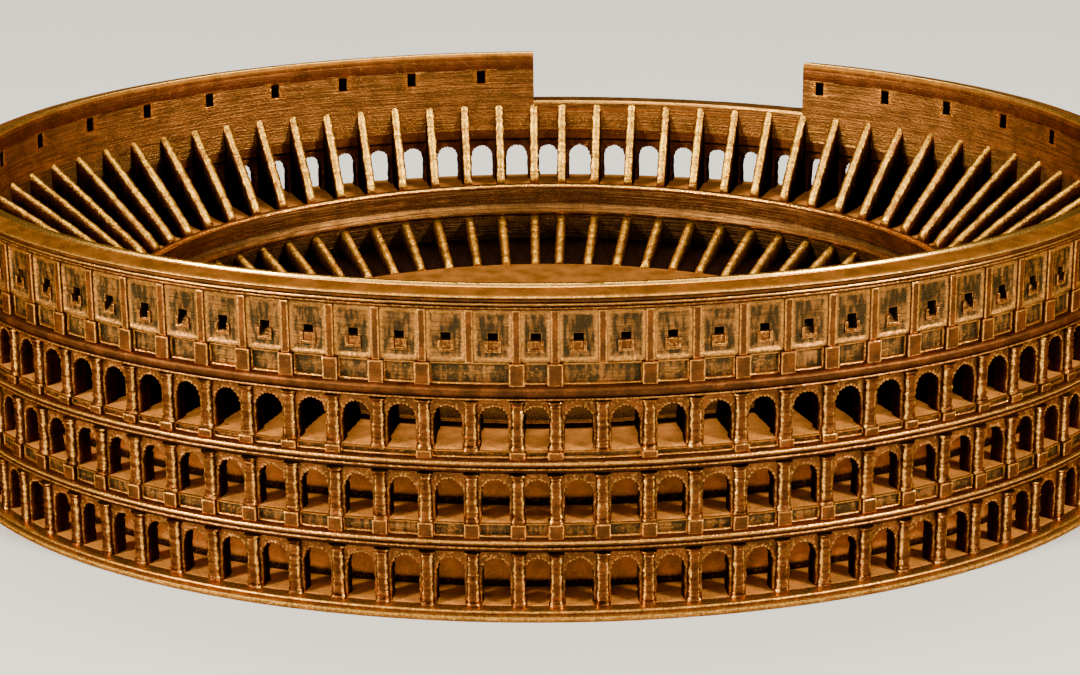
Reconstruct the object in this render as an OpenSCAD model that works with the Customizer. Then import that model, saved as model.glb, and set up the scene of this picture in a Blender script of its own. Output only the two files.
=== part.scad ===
// Miniature oval amphitheatre: three arcaded storeys, an attic that is open at one side,
// a gallery and a lower tier of radial fins round a flat arena floor.
// Origin at the centre of the underside, long way along X, front of the wall towards -Y, +Z up.

/* [Plan] */
// Half length of the wall line, along X
half_length = 37.3; // [34:0.1:45]
// Half width of the wall line, along Y
half_width = 28.07; // [26:0.01:36]
// Bays round the whole wall, in steps of four
bays = 80; // [72:4:88]
// Width of the front and back centre bays, as a share of an ordinary bay
centre_bay_share = 0.81; // [0.75:0.01:1]
// Joint left between neighbouring blocks
joint = 0.02; // [0.01:0.01:0.05]

/* [Storeys] */
// Top of the base step and foot of the first arcade
foot_1 = 0.6; // [0.5:0.05:0.8]
// Foot of the second arcade
foot_2 = 5.64; // [5.5:0.02:5.8]
// Foot of the third arcade and level of the gallery floor
foot_3 = 9.95; // [9.8:0.05:10.1]
// Height of the first arcade, from its foot to the cornice above
ground_arcade_h = 3.23; // [3.1:0.01:3.3]
// Height of the second and third arcades
upper_arcade_h = 2.9; // [2.8:0.02:3]
// Height of wall left between an arch crown and the cornice
crown_band = 0.36; // [0.25:0.01:0.5]
// Height of the first and second cornices
cornice_h = 0.95; // [0.8:0.05:1]

/* [Wall] */
// Depth of the wall face behind the columns' fronts
wall_face = 0.35; // [0.3:0.05:0.45]
// Depth of the inner face of the arcades
arcade_back = 1.35; // [1.2:0.05:1.5]
// Depth of the inner face of the attic
attic_back = 1.5; // [1.4:0.05:1.6]
// Width of an arch opening
opening_w = 1.6; // [1.2:0.05:1.7]
// Least width of wall between two openings, which narrows the opening of a centre bay
least_pier_w = 0.6; // [0.5:0.05:0.7]
// Radius of a half column's shaft
column_r = 0.37; // [0.25:0.01:0.37]
// Overhang of the cornices beyond the columns' fronts
cornice_out = 0.35; // [0.2:0.05:0.45]
// Overhang of the base step beyond the columns' fronts
base_out = 0.7; // [0.5:0.05:0.9]

/* [Attic] */
// Foot of the dado, on the third cornice
dado_foot = 13.8; // [13.8:0.05:14]
// Foot of the attic's panels
attic_foot = 15.09; // [15:0.03:15.2]
// Foot of the crown moulding
crown_foot = 18.13; // [18:0.01:18.3]
// Foot of the coping
coping_foot = 18.99; // [18.9:0.03:19.1]
// Top of the coping's overhanging lip
lip_top = 19.15; // [19.13:0.01:19.18]
// Top of the coping, the highest point
wall_top = 19.34; // [19.2:0.02:19.5]
// Top of the low wall where the attic is missing
stub_top = 15.8; // [15.6:0.05:16]
// Bays of attic missing, counted from the back centre bay towards +X
missing_bays = 8; // [2:1:12]

/* [Windows] */
// Width of an attic window
window_w = 0.55; // [0.4:0.05:0.7]
// Height of an attic window
window_h = 0.9; // [0.7:0.05:1]
// Centre height of a window on the outer face
window_z = 16.3; // [16.2:0.05:16.5]
// Centre height of a window on the inner face
window_inner_z = 17.65; // [17.4:0.05:17.65]

/* [Interior] */
// Depth of the walls behind the first and second arcades
ambulatory_wall = 2.9; // [2.6:0.05:3.1]
// Depth of the gallery rim at the front and back
rim_side = 4.15; // [4:0.05:5]
// Depth of the gallery rim at the two ends
rim_end = 10.25; // [8:0.05:11]
// Top of the gallery rim
rim_top = 10.27; // [10.2:0.01:10.4]
// Depth of the arena edge at the front and back
arena_side = 10.6; // [10:0.1:12]
// Depth of the arena edge at the two ends
arena_end = 15.6; // [14:0.1:16]
// Level of the arena floor
arena_top = 6.32; // [6:0.02:6.6]
// Thickness of an upper fin
upper_fin_t = 0.6; // [0.4:0.05:0.65]
// Thickness of a lower fin
lower_fin_t = 0.5; // [0.35:0.05:0.5]
// Top of the upper fins at the wall
upper_fin_outer_z = 15.71; // [15.5:0.01:15.8]
// Top of the upper fins at the rim
upper_fin_inner_z = 10.76; // [10.4:0.02:11]
// Top of the lower fins at the ring wall
lower_fin_outer_z = 8.05; // [7.8:0.05:8.1]
// Top of the lower fins at the arena
lower_fin_inner_z = 6.6; // [6.5:0.05:7]
// Foot of the ledge on the ring wall
ledge_foot = 8.15; // [8.15:0.05:8.4]

/* [Hidden] */
$fn = 24;

slack = 0.1;
steps = 720;
quarter = bays / 4;
core_face = ambulatory_wall + 0.4;
ring_wall_t = 0.45;
floor_t = 0.3;
parapet_face = 0.15;
pedestal_w = 0.86;
pedestal_out = 0.12;
panel_margin = 0.3;
panel_depth = 0.18;
cap_h = 0.28;
cap_r = column_r + 0.06;
column_foot_h = 0.22;
parapet_margin = 0.1;
bevel = 0.1;
base_tread = 0.8;
stepped_share = 0.3;
smooth_share = 0.6;
pilaster_w = 0.47;
frame_border = 0.12;
frame_share = 0.6;
blind_share = 0.6;
shaft_reach = 2;
ledge_h = 0.75;
ledge_out = 0.3;
rim_band_h = 0.25;
rim_lip = 0.08;
rim_back = 0.05;
fin_gap = 0.1;
cornice_1_foot = foot_1 + ground_arcade_h;
cornice_2_foot = foot_2 + upper_arcade_h;
cornice_3_foot = foot_3 + upper_arcade_h;
parapet_2_foot = cornice_1_foot + cornice_h;
parapet_3_foot = cornice_2_foot + cornice_h;

// Piers whose pedestal is left out, so that the panels on both sides run together
dado_merged = [1, bays - 2];
parapet_3_merged = [1, 3, bays - 4, bays - 2];

// First bay of the gap and the bay just after it, counted from the front centre bay round by +X
gap_from = bays / 2 - missing_bays + 1;
gap_to = bays / 2 + 1;
attic_bays = [for (i = [gap_to : bays + gap_from - 1]) i % bays];
attic_piers = [for (j = [gap_to : bays + gap_from - 2]) j % bays];

// Point at parameter t of the wall ellipse, moved inwards by depth along the normal
function wall_point(t, depth) =
    let (n = [cos(t) / half_length, sin(t) / half_width])
    [half_length * cos(t), half_width * sin(t)] - depth * n / norm(n);

// Arc length from the front centre against the ellipse parameter
function step_t(i) = -90 + 360 * i / steps;
function step_length(i) = norm(wall_point(step_t(i + 1), 0) - wall_point(step_t(i), 0));
arc_table = [for (i = 0, s = 0; i <= steps; s = s + step_length(i), i = i + 1) [s, step_t(i)]];
perimeter = arc_table[steps][0];
full_bay = perimeter / 4 / (centre_bay_share / 2 + quarter - 0.5);

// Pier j stands between bay j and bay j + 1; both halves of the wall mirror each other
function half_arc(h) = h < quarter
    ? (centre_bay_share / 2 + h) * full_bay
    : perimeter / 2 - (centre_bay_share / 2 + bays / 2 - 1 - h) * full_bay;
function pier_arc(j) = floor(j / (bays / 2)) * perimeter / 2 + half_arc(j % (bays / 2));
pier_t = [for (j = [0 : bays - 1]) lookup(pier_arc(j), arc_table)];

// Depth that grows from side at the front and back to end at the two ends of the oval
function depth_at(t, side, end) = side + (end - side) * pow(cos(t), 2);
function oval(side, end) = [for (t = pier_t) wall_point(t, depth_at(t, side, end))];
function pier_point(j, depth) = wall_point(pier_t[(j + bays) % bays], depth);
function reversed(list) = [for (k = [len(list) - 1 : -1 : 0]) list[k]];
function turn(v) = atan2(v[1], v[0]);
function bay_chord(i, depth) = pier_point(i, depth) - pier_point(i - 1, depth);
function bay_opening(i) = min(opening_w, norm(bay_chord(i, wall_face)) - least_pier_w);

// Local frame on a pier line: X along the wall, Y inwards
module at_pier(j, depth) {
    t = pier_t[j];
    translate(concat(wall_point(t, depth), 0))
        rotate([0, 0, atan2(half_width * cos(t), -half_length * sin(t))])
            children();
}

// Local frame in the middle of a bay: X along the wall, Y inwards
module at_bay(i, depth) {
    middle = (pier_point(i, depth) + pier_point(i - 1, depth)) / 2;
    translate(concat(middle, 0))
        rotate([0, 0, turn(bay_chord(i, depth))])
            children();
}

// Closed ring between two depths that are the same all round
module ring(outer, inner, z0, z1) {
    translate([0, 0, z0])
        linear_extrude(z1 - z0)
            difference() {
                polygon(oval(outer, outer));
                polygon(oval(inner, inner));
            }
}

// Ring that stops at both ends of the attic's gap
module attic_ring(outer, inner, z0, z1) {
    piers = [for (j = [gap_to - 1 : bays + gap_from - 1]) j % bays];
    translate([0, 0, z0])
        linear_extrude(z1 - z0)
            polygon(concat(
                [for (j = piers) pier_point(j, outer)],
                reversed([for (j = piers) pier_point(j, inner)])));
}

// Plain wall block of one bay, with half a joint off each end
module bay_block(i, outer, inner, z0, z1) {
    along = bay_chord(i, outer) / norm(bay_chord(i, outer)) * joint / 2;
    translate([0, 0, z0])
        linear_extrude(z1 - z0)
            polygon([
                pier_point(i - 1, outer) + along,
                pier_point(i, outer) - along,
                pier_point(i, inner) - along,
                pier_point(i - 1, inner) + along]);
}

// Round-headed opening, standing on z = 0
module arch_outline(width, crown) {
    spring = crown - width / 2;
    union() {
        translate([-width / 2, -slack])
            square([width, spring + slack]);
        translate([0, spring])
            circle(width / 2);
    }
}

// Arcade of one storey: one block a bay, each with its arch cut through
module arcade(foot, h) {
    depth = arcade_back - wall_face + 2 * slack;
    for (i = [0 : bays - 1])
        difference() {
            bay_block(i, wall_face, arcade_back, foot, foot + h);
            at_bay(i, wall_face - slack)
                translate([0, depth, foot])
                    rotate([90, 0, 0])
                        linear_extrude(depth)
                            arch_outline(bay_opening(i), h - crown_band);
        }
}

// Half column with a plain foot and a flared cap, standing against the wall face
module half_columns(foot, h) {
    shaft_top = h - cap_h;
    for (j = [0 : bays - 1])
        at_pier(j, wall_face)
            translate([0, 0, foot])
                rotate([0, 0, 180])
                    rotate_extrude(angle = 180)
                        polygon([[0, 0], [cap_r, 0], [cap_r, column_foot_h], [column_r, column_foot_h],
                            [column_r, shaft_top], [cap_r, h], [0, h]]);
}

// Moulded cornice in three steps, the middle one furthest out
module cornice(z0, z1, share) {
    margin = (z1 - z0) * (1 - share) / 2;
    middle = (z0 + z1) / 2;
    union() {
        ring(-cornice_out / 3, arcade_back, z0, middle);
        ring(-cornice_out / 2, arcade_back, middle - margin, z1);
        ring(-cornice_out, arcade_back, z0 + margin, z1 - margin);
    }
}

// Sunk panel between two piers, running on over a pier that has no pedestal
module panel_cut(i, face, z0, z1, merged) {
    half = norm(bay_chord(i, face)) / 2;
    left = len(search((i + bays - 1) % bays, merged)) > 0 ? slack : -pedestal_w / 2;
    right = len(search(i, merged)) > 0 ? slack : -pedestal_w / 2;
    at_bay(i, face)
        translate([-half - left, -slack, z0])
            cube([2 * half + left + right, panel_depth + slack, z1 - z0]);
}

// Band of wall with a sunk panel in every bay
module panel_band(z0, z1, inner, merged) {
    for (i = [0 : bays - 1])
        difference() {
            bay_block(i, parapet_face, inner, z0, z1);
            panel_cut(i, parapet_face, z0 + parapet_margin, z1 - parapet_margin, merged);
        }
}

// Blocks under the columns, between the sunk panels
module pedestals(z0, z1, merged) {
    for (j = [0 : bays - 1])
        if (len(search(j, merged)) == 0)
            at_pier(j, parapet_face)
                translate([-pedestal_w / 2, -parapet_face - pedestal_out, z0])
                    cube([pedestal_w, parapet_face + pedestal_out, z1 - z0]);
}

// Window hole of one bay: a shaft that rises inwards in every second bay, else a blind recess
module window_cut(i) {
    rise = window_inner_z - window_z;
    run = attic_back - parapet_face;
    slope = atan2(rise, run);
    at_bay(i, parapet_face)
        translate([0, 0, window_z])
            if (i % 2 == 0)
                rotate([slope, 0, 0])
                    translate([-window_w / 2, -shaft_reach, -window_h * cos(slope) / 2])
                        cube([window_w, 3 * shaft_reach, window_h * cos(slope)]);
            else
                translate([-window_w / 2, -slack, -window_h / 2])
                    cube([window_w, blind_share * run + slack, window_h]);
}

module base_plate() {
    color("peru")
        linear_extrude(foot_1)
            polygon(oval(arcade_back, arcade_back));
}

module base_step() {
    color("peru")
        union() {
            ring(-base_out, arcade_back, 0, foot_1 / 2);
            ring(-base_out * base_tread, arcade_back, 0, foot_1);
        }
}

module arcade_1() {
    color("goldenrod") arcade(foot_1, ground_arcade_h);
}

module arcade_2() {
    color("goldenrod") arcade(foot_2, upper_arcade_h);
}

module arcade_3() {
    color("goldenrod") arcade(foot_3, upper_arcade_h);
}

module half_columns_1() {
    color("burlywood") half_columns(foot_1, ground_arcade_h);
}

module half_columns_2() {
    color("burlywood") half_columns(foot_2, upper_arcade_h);
}

module half_columns_3() {
    color("burlywood") half_columns(foot_3, upper_arcade_h);
}

module cornice_1() {
    color("sandybrown") cornice(cornice_1_foot, parapet_2_foot, stepped_share);
}

module cornice_2() {
    color("sandybrown") cornice(cornice_2_foot, parapet_3_foot, stepped_share);
}

// Smooth rounded cornice under the attic
module cornice_3() {
    color("peru") cornice(cornice_3_foot, dado_foot, smooth_share);
}

module parapet_2() {
    color("darkgoldenrod") panel_band(parapet_2_foot, foot_2, arcade_back, []);
}

module parapet_3() {
    color("darkgoldenrod") panel_band(parapet_3_foot, foot_3, arcade_back, parapet_3_merged);
}

module attic_dado() {
    color("darkgoldenrod") panel_band(dado_foot, attic_foot, attic_back, dado_merged);
}

module pedestals_2() {
    color("sandybrown") pedestals(parapet_2_foot, foot_2, []);
}

module pedestals_3() {
    color("sandybrown") pedestals(parapet_3_foot, foot_3, parapet_3_merged);
}

module dado_pedestals() {
    color("sandybrown") pedestals(dado_foot, attic_foot, dado_merged);
}

// Attic wall: one block a bay with a sunk panel and a window
module attic_wall() {
    color("darkgoldenrod")
        for (i = attic_bays)
            difference() {
                bay_block(i, parapet_face, attic_back, attic_foot, crown_foot);
                panel_cut(i, parapet_face, attic_foot + panel_margin, crown_foot - panel_margin, []);
                window_cut(i);
            }
}

module attic_pilasters() {
    color("sandybrown")
        for (j = attic_piers)
            at_pier(j, parapet_face)
                translate([-pilaster_w / 2, -parapet_face, attic_foot])
                    cube([pilaster_w, parapet_face, crown_foot - attic_foot]);
}

// Raised sill and jambs round the lower part of each window
module window_frames() {
    width = window_w + 2 * frame_border;
    color("gold")
        for (i = attic_bays)
            at_bay(i, parapet_face)
                translate([0, 0, window_z - window_h / 2])
                    difference() {
                        translate([-width / 2, 0, -frame_border])
                            cube([width, panel_depth, frame_border + frame_share * window_h]);
                        translate([-window_w / 2, -slack, 0])
                            cube([window_w, panel_depth + 2 * slack, window_h]);
                    }
}

module crown_moulding() {
    middle = (crown_foot + coping_foot) / 2;
    color("peru")
        union() {
            attic_ring(0, attic_back, crown_foot, middle);
            attic_ring(-cornice_out / 2, attic_back, middle, coping_foot);
        }
}

// Wide coping: an overhanging lip with the crest on it
module coping() {
    color("gold")
        union() {
            attic_ring(-cornice_out, attic_back, coping_foot, lip_top);
            attic_ring(bevel, attic_back - bevel, lip_top, wall_top);
        }
}

// Low wall left standing in the attic's gap
module broken_wall_top() {
    color("peru")
        for (i = [gap_from : gap_to - 1])
            bay_block(i, parapet_face, attic_back, attic_foot, stub_top);
}

module ambulatory_wall_1() {
    color("chocolate") ring(ambulatory_wall, core_face, foot_1, cornice_1_foot);
}

module ambulatory_wall_2() {
    color("chocolate") ring(ambulatory_wall, core_face, foot_2, cornice_2_foot);
}

module ambulatory_floor_2() {
    color("chocolate") ring(arcade_back, core_face, cornice_1_foot, foot_2);
}

module ambulatory_floor_3() {
    color("chocolate") ring(arcade_back, core_face, cornice_2_foot, foot_3 - floor_t);
}

module gallery_floor() {
    color("chocolate")
        translate([0, 0, foot_3 - floor_t])
            linear_extrude(floor_t)
                difference() {
                    polygon(oval(arcade_back, arcade_back));
                    polygon(oval(rim_side - ring_wall_t, rim_end - ring_wall_t));
                }
}

// Solid mass under the gallery
module seating_core() {
    color("saddlebrown")
        translate([0, 0, foot_1])
            linear_extrude(foot_3 - floor_t - foot_1)
                difference() {
                    polygon(oval(core_face, core_face));
                    polygon(oval(rim_side - ring_wall_t, rim_end - ring_wall_t));
                }
}

// Ring between two depths that follow the gallery rim
module rim_ring(outer, inner, z0, z1) {
    translate([0, 0, z0])
        linear_extrude(z1 - z0)
            difference() {
                polygon(oval(rim_side + outer, rim_end + outer));
                polygon(oval(rim_side + inner, rim_end + inner));
            }
}

module ring_wall() {
    color("saddlebrown") rim_ring(-ring_wall_t, 0, foot_1, rim_top - rim_band_h);
}

module ring_ledge() {
    color("peru") rim_ring(0, ledge_out, ledge_foot, ledge_foot + ledge_h);
}

module gallery_rim() {
    color("gold") rim_ring(-ring_wall_t - rim_back, rim_lip, rim_top - rim_band_h, rim_top);
}

// Radial fin of thickness t from one depth to another, with a sloping top
module fin(j, t, z0, outer, inner, z_outer, z_inner) {
    length = inner - outer;
    at_pier(j, outer)
        rotate([90, 0, 90])
            translate([0, 0, -t / 2])
                linear_extrude(t)
                    polygon([[0, z0], [length, z0], [length, z_inner], [0, z_outer]]);
}

module upper_fins() {
    color("gold")
        for (j = [0 : bays - 1]) {
            rim = depth_at(pier_t[j], rim_side, rim_end) - ring_wall_t - fin_gap;
            fin(j, upper_fin_t, foot_3, attic_back + joint, rim, upper_fin_outer_z, upper_fin_inner_z);
        }
}

module lower_fins() {
    color("gold")
        for (j = [0 : bays - 1]) {
            rim = depth_at(pier_t[j], rim_side, rim_end) + joint;
            edge = depth_at(pier_t[j], arena_side, arena_end);
            fin(j, lower_fin_t, arena_top, rim, edge, lower_fin_outer_z, lower_fin_inner_z);
        }
}

module arena_floor() {
    color("darkkhaki")
        translate([0, 0, foot_1])
            linear_extrude(arena_top - foot_1)
                polygon(oval(rim_side, rim_end));
}

base_plate();
base_step();
arcade_1();
half_columns_1();
cornice_1();
parapet_2();
pedestals_2();
arcade_2();
half_columns_2();
cornice_2();
parapet_3();
pedestals_3();
arcade_3();
half_columns_3();
cornice_3();
attic_dado();
dado_pedestals();
attic_wall();
attic_pilasters();
window_frames();
crown_moulding();
coping();
broken_wall_top();
ambulatory_wall_1();
ambulatory_wall_2();
ambulatory_floor_2();
ambulatory_floor_3();
gallery_floor();
seating_core();
ring_wall();
ring_ledge();
gallery_rim();
upper_fins();
lower_fins();
arena_floor();
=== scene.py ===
"""Looks of a small cast-bronze model of an oval amphitheatre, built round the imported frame.

Lengths are in millimetres until place() turns them into the frame's metres. A point of the wall is given
by its arc length s round the wall line (0 at the front centre, growing towards +X), its depth inwards from
that line, and its height z.
"""

import math

import bmesh
import bpy
import numpy as np
from mathutils import Matrix, Vector


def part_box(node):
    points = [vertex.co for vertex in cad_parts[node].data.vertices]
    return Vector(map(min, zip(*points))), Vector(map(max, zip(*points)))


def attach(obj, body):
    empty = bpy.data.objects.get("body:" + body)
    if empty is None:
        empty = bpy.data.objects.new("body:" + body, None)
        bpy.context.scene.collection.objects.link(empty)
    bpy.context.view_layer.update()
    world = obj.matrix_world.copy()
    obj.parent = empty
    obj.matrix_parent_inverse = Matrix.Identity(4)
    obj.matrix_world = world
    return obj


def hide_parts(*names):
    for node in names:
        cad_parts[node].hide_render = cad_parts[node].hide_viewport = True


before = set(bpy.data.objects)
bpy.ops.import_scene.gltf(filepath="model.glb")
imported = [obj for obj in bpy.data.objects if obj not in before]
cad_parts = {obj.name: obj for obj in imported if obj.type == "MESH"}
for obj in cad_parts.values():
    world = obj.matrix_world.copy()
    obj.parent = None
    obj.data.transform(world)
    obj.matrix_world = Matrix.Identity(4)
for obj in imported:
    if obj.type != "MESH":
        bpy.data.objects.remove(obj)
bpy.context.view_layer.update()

MM = 0.001

# ---------------------------------------------------------------- plan of the wall, as in the frame
HALF_LENGTH = 37.3
HALF_WIDTH = 28.07
BAYS = 80
CENTRE_BAY_SHARE = 0.81
QUARTER = BAYS // 4
MISSING_BAYS = 8
GAP_FROM = BAYS // 2 - MISSING_BAYS + 1
GAP_TO = BAYS // 2 + 1

WALL_FACE = 0.35
PARAPET_FACE = 0.15
ARCADE_BACK = 1.35
ATTIC_BACK = 1.5
AMBULATORY_WALL = 2.9
CORE_FACE = 3.3
OPENING_W = 1.6
LEAST_PIER_W = 0.6
CROWN_BAND = 0.36
PEDESTAL_W = 0.86
PEDESTAL_OUT = 0.12
PANEL_DEPTH = 0.18
CORNICE_OUT = 0.35
BASE_OUT = 0.7
UPPER_FIN_T = 0.6
LOWER_FIN_T = 0.5
UPPER_FIN_END_Z = 10.76
LOWER_FIN_END_Z = 6.6
RIM = (4.15, 10.25)
ARENA = (10.6, 15.6)
RING_WALL_T = 0.45
WINDOW_W = 0.55
WINDOW_H = 0.9
WINDOW_Z = 16.3
WINDOW_INNER_Z = 17.65

# Piers with no pedestal, where two sunk panels run together
DADO_MERGED = (1, BAYS - 2)
PARAPET_3_MERGED = (1, 3, BAYS - 4, BAYS - 2)

BOXES = {node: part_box(node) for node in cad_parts}


def foot(node):
    """Lowest height of a CAD node."""
    return BOXES[node][0].z / MM


def top(node):
    """Greatest height of a CAD node."""
    return BOXES[node][1].z / MM


# ---------------------------------------------------------------- arc length and placing
TABLE_STEPS = 20000
TABLE_T = np.linspace(-math.pi / 2, 1.5 * math.pi, TABLE_STEPS + 1)
CHORDS = np.hypot(np.diff(HALF_LENGTH * np.cos(TABLE_T)), np.diff(HALF_WIDTH * np.sin(TABLE_T)))
TABLE_S = np.concatenate([[0.0], np.cumsum(CHORDS)])
LAP = float(TABLE_S[-1])
FULL_BAY = LAP / 4 / (CENTRE_BAY_SHARE / 2 + QUARTER - 0.5)


def angle_at(s):
    """Angle on the oval, as in (HALF_LENGTH cos t, HALF_WIDTH sin t), at an arc length."""
    return np.interp(np.mod(s, LAP), TABLE_S, TABLE_T)


def pier_s(j):
    """Arc length of the pier line between bay j and bay j + 1."""
    lap, j = divmod(j, BAYS)
    half, h = divmod(j, BAYS // 2)
    if h < QUARTER:
        along = (CENTRE_BAY_SHARE / 2 + h) * FULL_BAY
    else:
        along = LAP / 2 - (CENTRE_BAY_SHARE / 2 + BAYS // 2 - 1 - h) * FULL_BAY
    return lap * LAP + half * LAP / 2 + along


def depth_at(s, pair):
    """Depth that grows from pair[0] at the front and back to pair[1] at the ends of the oval."""
    return pair[0] + (pair[1] - pair[0]) * np.cos(angle_at(s)) ** 2


def place(s, depth, z):
    """Points in the frame, in metres, from arc length, depth and height in millimetres."""
    s, depth, z = np.broadcast_arrays(s, depth, z)
    t = angle_at(s)
    nx, ny = np.cos(t) / HALF_LENGTH, np.sin(t) / HALF_WIDTH
    k = depth / np.hypot(nx, ny)
    x = HALF_LENGTH * np.cos(t) - k * nx
    y = HALF_WIDTH * np.sin(t) - k * ny
    return np.stack([x, y, z], -1) * MM


# ---------------------------------------------------------------- unevenness of the casting
# LATTICE gives the smooth noise of lumps(), and GRAINS the beads along columns and fins, drawn in turn
LATTICE = np.random.default_rng(11).random((48, 48, 48)) * 2 - 1
SEED_SHIFT = 7.31
GRAINS = np.random.default_rng(7)
UPRIGHT_SHARE = 0.5
FINE_SIZE = 0.4
FINE_SHARE = 0.5


def lumps(points, size, seed):
    """Smooth noise from -1 to 1 at points in metres, with lumps about size millimetres across."""
    q = points / (size * MM) + seed * SEED_SHIFT
    cell = np.floor(q).astype(int)
    f = q - cell
    f = f * f * (3 - 2 * f)
    total = np.zeros(len(points))
    for corner in range(8):
        step = np.array([corner & 1, corner >> 1 & 1, corner >> 2 & 1])
        weight = np.prod(np.where(step, f, 1 - f), axis=1)
        i = (cell + step) % len(LATTICE)
        total += weight * LATTICE[i[:, 0], i[:, 1], i[:, 2]]
    return total


def roughened(points, amount, size):
    """Points moved a little each way, like the surface of a small casting.

    amount is the greatest move in millimetres and size the width of the lumps. Moves up and down are
    smaller, by UPRIGHT_SHARE, and finer lumps ride on the broad ones.
    """
    flat = points.reshape(-1, 3)
    moved = np.stack([lumps(flat, size, seed) for seed in (1, 2, 3)], -1)
    fine = np.stack([lumps(flat, size * FINE_SIZE, seed) for seed in (4, 5, 6)], -1)
    moved[:, 2] *= UPRIGHT_SHARE
    return (flat + (moved + FINE_SHARE * fine) * amount * MM).reshape(points.shape)


# ---------------------------------------------------------------- meshes
def grid_faces(rows, columns, wrap_rows, wrap_columns, first=0):
    """Quads over a grid of points numbered row by row from first."""
    r = np.arange(rows if wrap_rows else rows - 1)[:, None]
    c = np.arange(columns if wrap_columns else columns - 1)[None, :]
    r1, c1 = (r + 1) % rows, (c + 1) % columns
    quads = np.stack([r * columns + c, r * columns + c1, r1 * columns + c1, r1 * columns + c], -1)
    return (quads.reshape(-1, 4) + first).tolist()


# Greatest vertical part of the normal of a face that counts as upright
UPRIGHT_TILT = 0.7


def mark_outside(mesh):
    """Gives each point 1 on upright faces that look away from the middle of the oval, and 0 elsewhere."""
    count = len(mesh.vertices)
    at, normal = np.empty(count * 3), np.empty(count * 3)
    mesh.vertices.foreach_get("co", at)
    mesh.vertex_normals.foreach_get("vector", normal)
    away = at.reshape(-1, 3)[:, :2] / (HALF_LENGTH**2, HALF_WIDTH**2)
    facing = (away * normal.reshape(-1, 3)[:, :2]).sum(1)
    outside = mesh.attributes.new("outside", "FLOAT", "POINT")
    upright = np.abs(normal[2::3]) < UPRIGHT_TILT
    outside.data.foreach_set("value", ((facing > 0) & upright).astype(np.float32))


class Shape:
    """Points, faces and wear values collected for one piece."""

    def __init__(self):
        self.points, self.wear, self.faces, self.count = [], [], [], 0

    def add_grid(self, points, wear, wrap_rows=False, wrap_columns=False, caps=""):
        """Adds a grid of points (rows, columns, 3). caps names the open sides to close: rows or columns."""
        rows, columns = points.shape[:2]
        first = self.count
        self.points.append(points.reshape(-1, 3))
        self.wear.append(np.broadcast_to(wear, (rows, columns)).reshape(-1))
        self.faces += grid_faces(rows, columns, wrap_rows, wrap_columns, first)
        if caps == "rows":
            self.faces.append([first + c for c in range(columns)])
            self.faces.append([first + (rows - 1) * columns + c for c in range(columns)])
        if caps == "columns":
            self.faces.append([first + r * columns for r in range(rows)])
            self.faces.append([first + r * columns + columns - 1 for r in range(rows)])
        self.count += rows * columns

    def finish(self, name, material, nodes, rough=0.012, lump=0.3, sharp=38):
        """Makes the piece, roughened by rough with lumps of lump millimetres.

        Edges that turn by more than sharp degrees stay crisp.
        """
        points = roughened(np.concatenate(self.points), rough, lump)
        points[:, 2] = np.maximum(points[:, 2], 0)
        mesh = bpy.data.meshes.new(name)
        mesh.from_pydata(points.tolist(), [], self.faces)
        wear = mesh.attributes.new("wear", "FLOAT", "POINT")
        wear.data.foreach_set("value", np.concatenate(self.wear).astype(np.float32))
        bm = bmesh.new()
        bm.from_mesh(mesh)
        bmesh.ops.recalc_face_normals(bm, faces=bm.faces)
        bm.to_mesh(mesh)
        bm.free()
        mark_outside(mesh)
        mesh.shade_smooth()
        mesh.set_sharp_from_angle(angle=math.radians(sharp))
        mesh.materials.append(material)
        piece = bpy.data.objects.new(name, mesh)
        bpy.context.scene.collection.objects.link(piece)
        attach(piece, "root")
        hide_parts(*nodes)


# Wear of outward corners, painted shade of inward creases, and the least bend that counts as one
CORNER_WEAR = 0.9
CREASE_SHADE = -0.6
LEAST_BEND = 0.15


def rounded(outline, radius=0.05, reach=0.1, plain=0.0, step=0.25):
    """Closed outline of (depth, z) or (depth, z, wear) corners, anticlockwise, with small arcs for corners.

    Returns rows of depth, z and wear. A corner with no value of its own is rubbed bright where it
    points outwards and gets painted shade where it points inwards, and the flats beside it are plain.
    Between two corners with values of their own, the value blends from one to the other.
    """
    pts = np.array([corner[:2] for corner in outline], float)
    own = [corner[2] if len(corner) == 3 else None for corner in outline]
    rows = []
    n = len(pts)
    for k in range(n):
        here, before, after = pts[k], pts[k - 1], pts[(k + 1) % n]
        a, b = before - here, after - here
        la, lb = np.hypot(*a), np.hypot(*b)
        a, b = a / la, b / lb
        r = min(radius, la * 0.4, lb * 0.4)
        bulge = a[1] * b[0] - a[0] * b[1]
        turned = CORNER_WEAR if bulge > LEAST_BEND else CREASE_SHADE if bulge < -LEAST_BEND else plain
        corner_wear = turned if own[k] is None else own[k]
        next_own = own[(k + 1) % n]
        blended = own[k] is not None and next_own is not None
        if la * 0.5 > r + reach and (own[k] is None or own[k - 1] is None):
            rows.append([*(here + a * (r + reach)), plain])
        for u in (0.0, 0.5, 1.0):
            curve = here + a * r * (1 - u) ** 2 + b * r * u**2
            rows.append([*curve, corner_wear])
        if lb * 0.5 > r + reach:
            if not blended:
                rows.append([*(here + b * (r + reach)), plain])
            gap = lb - 2 * (r + reach)
            extra = int(gap / step)
            for e in range(1, extra + 1):
                along = r + reach + gap * e / (extra + 1)
                share = along / lb
                flat_wear = own[k] * (1 - share) + next_own * share if blended else plain
                rows.append([*(here + b * along), flat_wear])
    return np.array(rows)


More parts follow.
